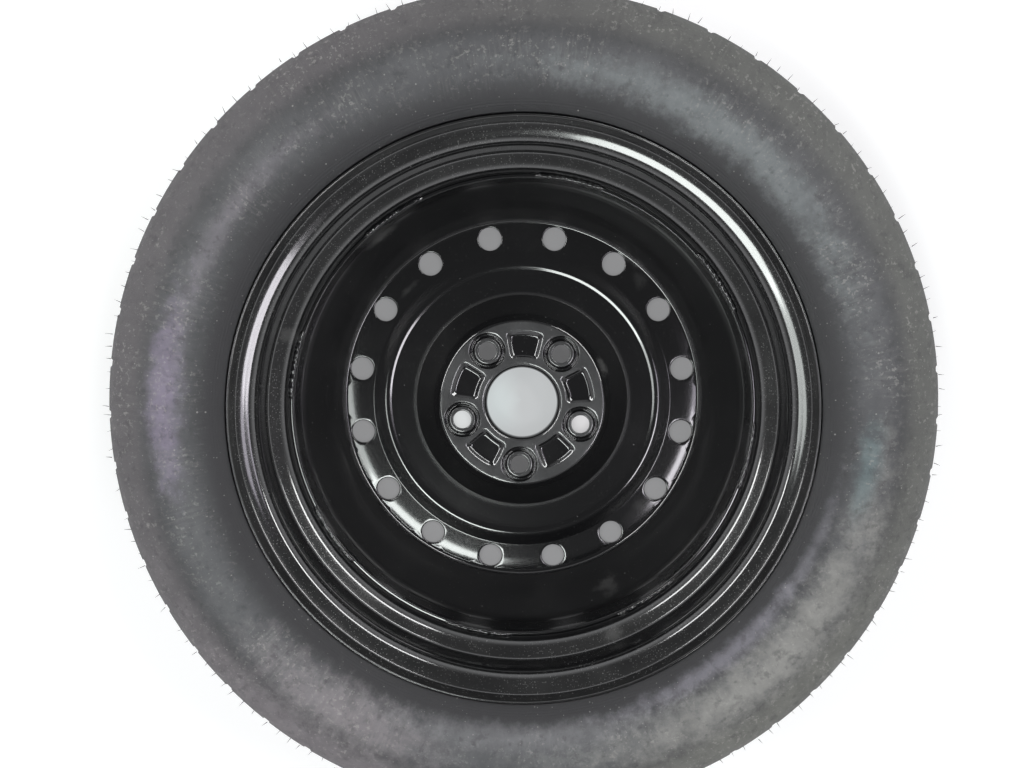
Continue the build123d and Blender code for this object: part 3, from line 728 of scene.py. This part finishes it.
# the tread from its edge to its centre: distance from the centre and depth below the crown
treadPoints = [(form["slotTo"] - form["slotTail"], 0)]
treadPoints += [(form["slotFrom"] + lead, 0) for lead in form["slotLeads"]]
half, deep = form["grooveWidth"] / 2, form["grooveDepth"]
grooveSide = [(half + 0.5, 0), (half, 0.25), (half - 0.3, deep - 0.6), (half - 0.9, deep)]
grooveLine = grooveSide + [(-offset, depth) for offset, depth in grooveSide[::-1]]
for groove in form["grooves"]:
    treadPoints += [(groove + offset, depth) for offset, depth in grooveLine if groove + offset >= 0]
for off, depth in treadPoints:
    z = form["centre"] + off
    outside.append(min(treadTop, key=lambda p: abs(p.imag - z)).real - depth + z * 1j)
lining = [form["innerCrown"], form["innerShoulder"]] + arcLine(*form["innerWall"], form["innerSteps"])


def mirrored(line):
    # the other half of the section, in reverse
    return [p.real + (2 * form["centre"] - p.imag) * 1j for p in line[::-1]]


section = outside + mirrored(outside) + mirrored(lining) + lining
pitch = 2 * pi / form["slots"]
edge = form["slotWidth"] / (form["treadEdge"].real * pitch) / 2
across = [-share for share in form["plainShares"]] + [-edge - share for share in form["edgeShares"]] + [0.0]
across += [edge + share for share in form["edgeShares"][::-1]] + list(form["plainShares"][:0:-1])
slope = tan(radians(form["slotSkew"])) / form["treadEdge"].real


def slotShift(z):
    # how far the slots lean round the tyre at this height
    up, low, high = z - form["centre"], form["leanLow"], form["leanHigh"]
    upper = -slope * (max(min(up, high), low) - form["slotMid"])
    lower = pitch / 2 - slope * (min(max(up, -high), -low) + form["slotMid"])
    share = max(0.0, min(1.0, (up + low) / 2 / low))
    return lower + (upper - lower) * share


def inSlot(p, u):
    off = abs(p.imag - form["centre"])
    return abs(u) < edge and form["slotFrom"] <= off <= form["slotTo"] and p.real > form["slotFloor"]


verts, quads = [], []
for k in range(form["slots"]):
    for u in across:
        for j, p in enumerate(section):
            slotted = j < 2 * len(outside) and inSlot(p, u)
            q = form["slotFloor"] + p.imag * 1j if slotted else p
            verts.append(spinPoint(q, (k + u) * pitch + slotShift(p.imag)))
total, ring = len(verts), len(section)
for start in range(0, total, ring):
    after = (start + ring) % total
    quads += [(start + j, start + (j + 1) % ring, after + (j + 1) % ring, after + j) for j in range(ring)]
onWheel("tyreBody", newMesh("tyreBody", verts, quads, form["sharp"]), tyreRubber, "tyre_rubber", "tyre")


# welds between the disc's edge and the rim: beads along arcs, made lumpy by noise
weldForm = dict(count=8, radius=0.1972, height=0.0562, arc=17.0, turn=78.5, size=0.0019, lump=0.0018, steps=90,
                sides=10, taperFrom=0.9, taperTo=0.35, lumpScale=330.0, lumpDetail=3.0)
tree, given = newTree("weldRun", Geometry="Geometry", Beads="Int", Radius="Float", Height="Float", Arc="Float",
                      Turn="Float", Size="Float", Lump="Float", Finish="Material")
arc = put(tree, "GeometryNodeCurveArc", {
    "Resolution": weldForm["steps"], "Radius": given["Radius"], "Start Angle": 0.0, "Sweep Angle": given["Arc"],
}).outputs[0]
along = put(tree, "GeometryNodeSplineParameter").outputs["Factor"]
ends = times(tree, calc(tree, "ABSOLUTE", calc(tree, "SUBTRACT", along, 0.5)), 2.0)
taper = put(tree, "ShaderNodeMapRange", {
    "Value": ends, "From Min": weldForm["taperFrom"], "From Max": 1.0, "To Min": 1.0, "To Max": weldForm["taperTo"],
}).outputs[0]
circle = {"Resolution": weldForm["sides"], "Radius": given["Size"]}
profile = put(tree, "GeometryNodeCurvePrimitiveCircle", circle).outputs[0]
bead = put(tree, "GeometryNodeCurveToMesh", {
    "Curve": arc, "Profile Curve": profile, "Scale": taper, "Fill Caps": True,
}).outputs[0]
dots = put(tree, "GeometryNodeMeshLine", {"Count": given["Beads"], "Offset": (0.0, 0.0, 0.0)}).outputs[0]
apart = calc(tree, "DIVIDE", 2 * pi, given["Beads"])
index = put(tree, "GeometryNodeInputIndex").outputs[0]
spinBy = put(tree, "ShaderNodeMath", {0: index, 1: apart, 2: given["Turn"]}, operation="MULTIPLY_ADD").outputs[0]
spin = put(tree, "ShaderNodeCombineXYZ", {2: spinBy}).outputs[0]
beads = put(tree, "GeometryNodeInstanceOnPoints", {"Points": dots, "Instance": bead, "Rotation": spin}).outputs[0]
grain = {"Scale": weldForm["lumpScale"], "Detail": weldForm["lumpDetail"]}
lump = put(tree, "ShaderNodeTexNoise", grain).outputs["Color"]
lump = vectorCalc(tree, "SUBTRACT", lump, (0.5, 0.5, 0.5))
lump = put(tree, "ShaderNodeVectorMath", {0: lump, "Scale": given["Lump"]}, operation="SCALE").outputs[0]
lift = put(tree, "ShaderNodeCombineXYZ", {2: given["Height"]}).outputs[0]
moved = moveBy(tree, wholeMesh(tree, beads), vectorCalc(tree, "ADD", lump, lift))
closeTree(tree, moved, given["Finish"])
welds = runTree("weldRun", bpy.data.meshes.new("weldSeed"), tree, {
    "Beads": weldForm["count"], "Radius": weldForm["radius"], "Height": weldForm["height"],
    "Arc": radians(weldForm["arc"]), "Turn": radians(weldForm["turn"] - weldForm["arc"] / 2),
    "Size": weldForm["size"], "Lump": weldForm["lump"], "Finish": wheelPaint})
welds.shade_smooth()
onWheel("weldBeads", welds, wheelPaint, "wheel_paint", "disc_welds")


# moulding hairs round both shoulders
hairForm = dict(
    count=180, radius=0.3318, middle=0.045, height=0.0535, length=0.0054, thick=0.00036, tip=0.00008, sides=5,
    jitter=((-0.0025, -0.0025, -0.0015), (0.0025, 0.0025, 0.0015)), seed=3,
    rise=0.04, lean=((-0.12, -0.12, -0.08), (0.12, 0.12, 0.12)), leanSeed=5,
    scale=((0.8, 0.8, 0.6), (1.1, 1.1, 1.2)), scaleSeed=9,
)
tree, given = newTree("hairRing", Geometry="Geometry", Hairs="Int", Radius="Float", Height="Float", Length="Float",
                      Thick="Float", Seed="Int", Finish="Material")


def randomVector(limits, seed):
    spots = {"Min": limits[0], "Max": limits[1], "Seed": seed}
    return put(tree, "FunctionNodeRandomValue", spots, data_type="FLOAT_VECTOR").outputs[0]


circle = {"Resolution": given["Hairs"], "Radius": given["Radius"]}
around = put(tree, "GeometryNodeCurvePrimitiveCircle", circle).outputs[0]
dots = put(tree, "GeometryNodeCurveToPoints", {"Curve": around}, mode="EVALUATED").outputs[0]
jitter = randomVector(hairForm["jitter"], given["Seed"])
lift = put(tree, "ShaderNodeCombineXYZ", {2: given["Height"]}).outputs[0]
dots = moveBy(tree, dots, vectorCalc(tree, "ADD", jitter, lift))
spot = put(tree, "ShaderNodeSeparateXYZ", {0: put(tree, "GeometryNodeInputPosition").outputs[0]}).outputs
outward = put(tree, "ShaderNodeCombineXYZ", {0: spot[0], 1: spot[1], 2: hairForm["rise"]}).outputs[0]
lean = vectorCalc(tree, "ADD", outward, randomVector(hairForm["lean"], hairForm["leanSeed"]))
aim = put(tree, "FunctionNodeAlignRotationToVector", {"Vector": lean}, axis="Z").outputs[0]
hair = put(tree, "GeometryNodeMeshCone", {
    "Vertices": hairForm["sides"], "Radius Top": hairForm["tip"], "Radius Bottom": given["Thick"],
    "Depth": given["Length"],
}).outputs["Mesh"]
hairs = put(tree, "GeometryNodeInstanceOnPoints", {
    "Points": dots, "Instance": hair, "Rotation": aim, "Scale": randomVector(hairForm["scale"], hairForm["scaleSeed"]),
}).outputs[0]
closeTree(tree, wholeMesh(tree, hairs), given["Finish"])
for name, up in (("hairsInner", 1), ("hairsOuter", -1)):
    mesh = runTree(name, bpy.data.meshes.new("hairSeed"), tree, {
        "Hairs": hairForm["count"], "Radius": hairForm["radius"],
        "Height": hairForm["middle"] + up * hairForm["height"], "Length": hairForm["length"],
        "Thick": hairForm["thick"], "Seed": hairForm["seed"] + up, "Finish": tyreRubber})
    onWheel(name, mesh, tyreRubber, "tyre_rubber")


# floor, lights and camera
floorLook = dict(
    shadowUnderWheel=(0.1, 0.1, 0.102, 1), pale=(0.8, 0.8, 0.8, 1), boreGlow=(0.46, 0.475, 0.48, 1),
    studGlow=(0.12, 0.12, 0.122, 1), ventGlow=(0.2, 0.2, 0.203, 1), paleGlow=(0.28, 0.28, 0.28, 1),
    rough=0.9, specular=0.1, half=4, bore=(0.041, 0.046), vents=(0.08, 0.12), open=(0.2, 0.3),
)
# painted pools of light on the floor, seen through two stud holes and the bore
floorLightPools = [
    dict(turn=108, width=24, radius=0.060, spread=0.018, tone=(0.7, 0.69, 0.7, 1), share=1.0),
    dict(turn=252, width=24, radius=0.060, spread=0.018, tone=(0.69, 0.71, 0.71, 1), share=1.0),
    dict(turn=268, width=80, radius=0.022, spread=0.022, tone=(0.58, 0.64, 0.64, 1), share=0.7),
]
look = floorLook
floorMaterial, tree, sockets = newMaterial("paleFloor")
radius = useGroup(tree, axlePlace)["Radius"]
# painted shadow: the floor is dark grey under the wheel and pale beyond
opened = fade(tree, radius, *look["open"])
tree.links.new(blendColour(tree, opened, look["shadowUnderWheel"], look["pale"]), sockets["Base Color"])
sockets["Roughness"].default_value = look["rough"]
sockets["Specular IOR Level"].default_value = look["specular"]
# painted light: the floor under the bore, studs and vents glows at set strengths
glow = blendColour(tree, fade(tree, radius, *look["bore"]), look["boreGlow"], look["studGlow"])
glow = blendColour(tree, fade(tree, radius, *look["vents"]), glow, look["ventGlow"])
for spot in floorLightPools:
    glow = blendColour(tree, patchMask(tree, spot, 0.0), glow, spot["tone"])
tree.links.new(blendColour(tree, opened, glow, look["paleGlow"]), sockets["Emission Color"])
rays = put(tree, "ShaderNodeLightPath").outputs
seen = most(tree, rays["Is Camera Ray"], rays["Is Glossy Ray"], rays["Is Transmission Ray"])
tree.links.new(seen, sockets["Emission Strength"])
# the floor is clear from below, so that the wheel's outer side can be looked at
behind = put(tree, "ShaderNodeNewGeometry").outputs["Backfacing"]
tree.links.new(calc(tree, "SUBTRACT", 1.0, behind), sockets["Alpha"])
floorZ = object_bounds()[0][2]
half = look["half"]
mesh = bpy.data.meshes.new("floor")
mesh.from_pydata([(x, y, floorZ) for x, y in ((-half, -half), (half, -half), (half, half), (-half, half))],
                 [], [(0, 1, 2, 3)])
mesh.materials.append(floorMaterial)
floor = bpy.data.objects.new("floor", mesh)
bpy.context.scene.collection.objects.link(floor)

# each lamp: compass turn and lean from straight up in degrees, distance, size, brightness of its face
lampAim = Vector((0, 0, 0.05))
lamps = {
    "softLeft": dict(turn=244, lean=28, reach=3.0, size=(1.0, 0.6), bright=10.5, colour=(0.95, 1.0, 0.975)),
    "tailLeft": dict(turn=208, lean=26, reach=3.0, size=(0.85, 0.5), bright=4.8, colour=(0.95, 1.0, 0.98)),
    "softLow": dict(turn=-35, lean=28, reach=3.0, size=(0.66, 0.5), bright=8.5, colour=(0.97, 0.94, 1.0)),
    "tailLow": dict(turn=-12, lean=28, reach=3.0, size=(0.6, 0.45), bright=3.6, colour=(0.93, 0.88, 1.0)),
    "edgeRight": dict(turn=35, lean=42, reach=3.0, size=(2.2, 0.38), bright=12.5, colour=(1.0, 1.0, 1.0)),
    "edgeLeft": dict(turn=154, lean=42, reach=3.0, size=(1.9, 0.38), bright=12.5, colour=(1.0, 1.0, 1.0)),
}
for name, lamp in lamps.items():
    light = bpy.data.lights.new(name, "AREA")
    light.shape = "RECTANGLE"
    light.size, light.size_y = lamp["size"]
    light.energy = lamp["bright"] * pi * light.size * light.size_y
    light.color = lamp["colour"]
    holder = bpy.data.objects.new(name, light)
    turn, lean = radians(lamp["turn"]), radians(lamp["lean"])
    away = Vector((sin(lean) * cos(turn), sin(lean) * sin(turn), cos(lean)))
    holder.location = lampAim + away * lamp["reach"]
    sideways = Vector((-away.y, away.x, 0)).normalized()
    holder.rotation_euler = Matrix((sideways, away.cross(sideways), away)).transposed().to_euler()
    bpy.context.scene.collection.objects.link(holder)

room = dict(colour=(0.97, 0.98, 1.0, 1), overhead=0.1, sides=1.1, climb=(0.25, 0.75))
world = bpy.data.worlds.new("room")
bpy.context.scene.world = world
world.use_nodes = True
tree = world.node_tree
sky = tree.nodes["Background"].inputs
sky["Color"].default_value = room["colour"]
climb = put(tree, "ShaderNodeSeparateXYZ", {0: put(tree, "ShaderNodeTexCoord").outputs["Generated"]}).outputs[2]
tree.links.new(fade(tree, climb, *room["climb"], room["sides"], room["overhead"]), sky["Strength"])

view = dict(place=(-0.0076, 0.0955, 0.782), tilt=-5.7, yaw=0.127, lens=30.192, sensor=36.0, near=0.05)
eye = bpy.data.cameras.new("camera")
eye.lens = view["lens"]
eye.sensor_width = view["sensor"]
eye.clip_start = view["near"]
camera = bpy.data.objects.new("camera", eye)
camera.location = view["place"]
camera.rotation_euler = (radians(view["tilt"]), radians(view["yaw"]), 0)
bpy.context.scene.collection.objects.link(camera)
bpy.context.scene.camera = camera
bpy.context.scene.view_settings.view_transform = "Standard"

print("scene done")
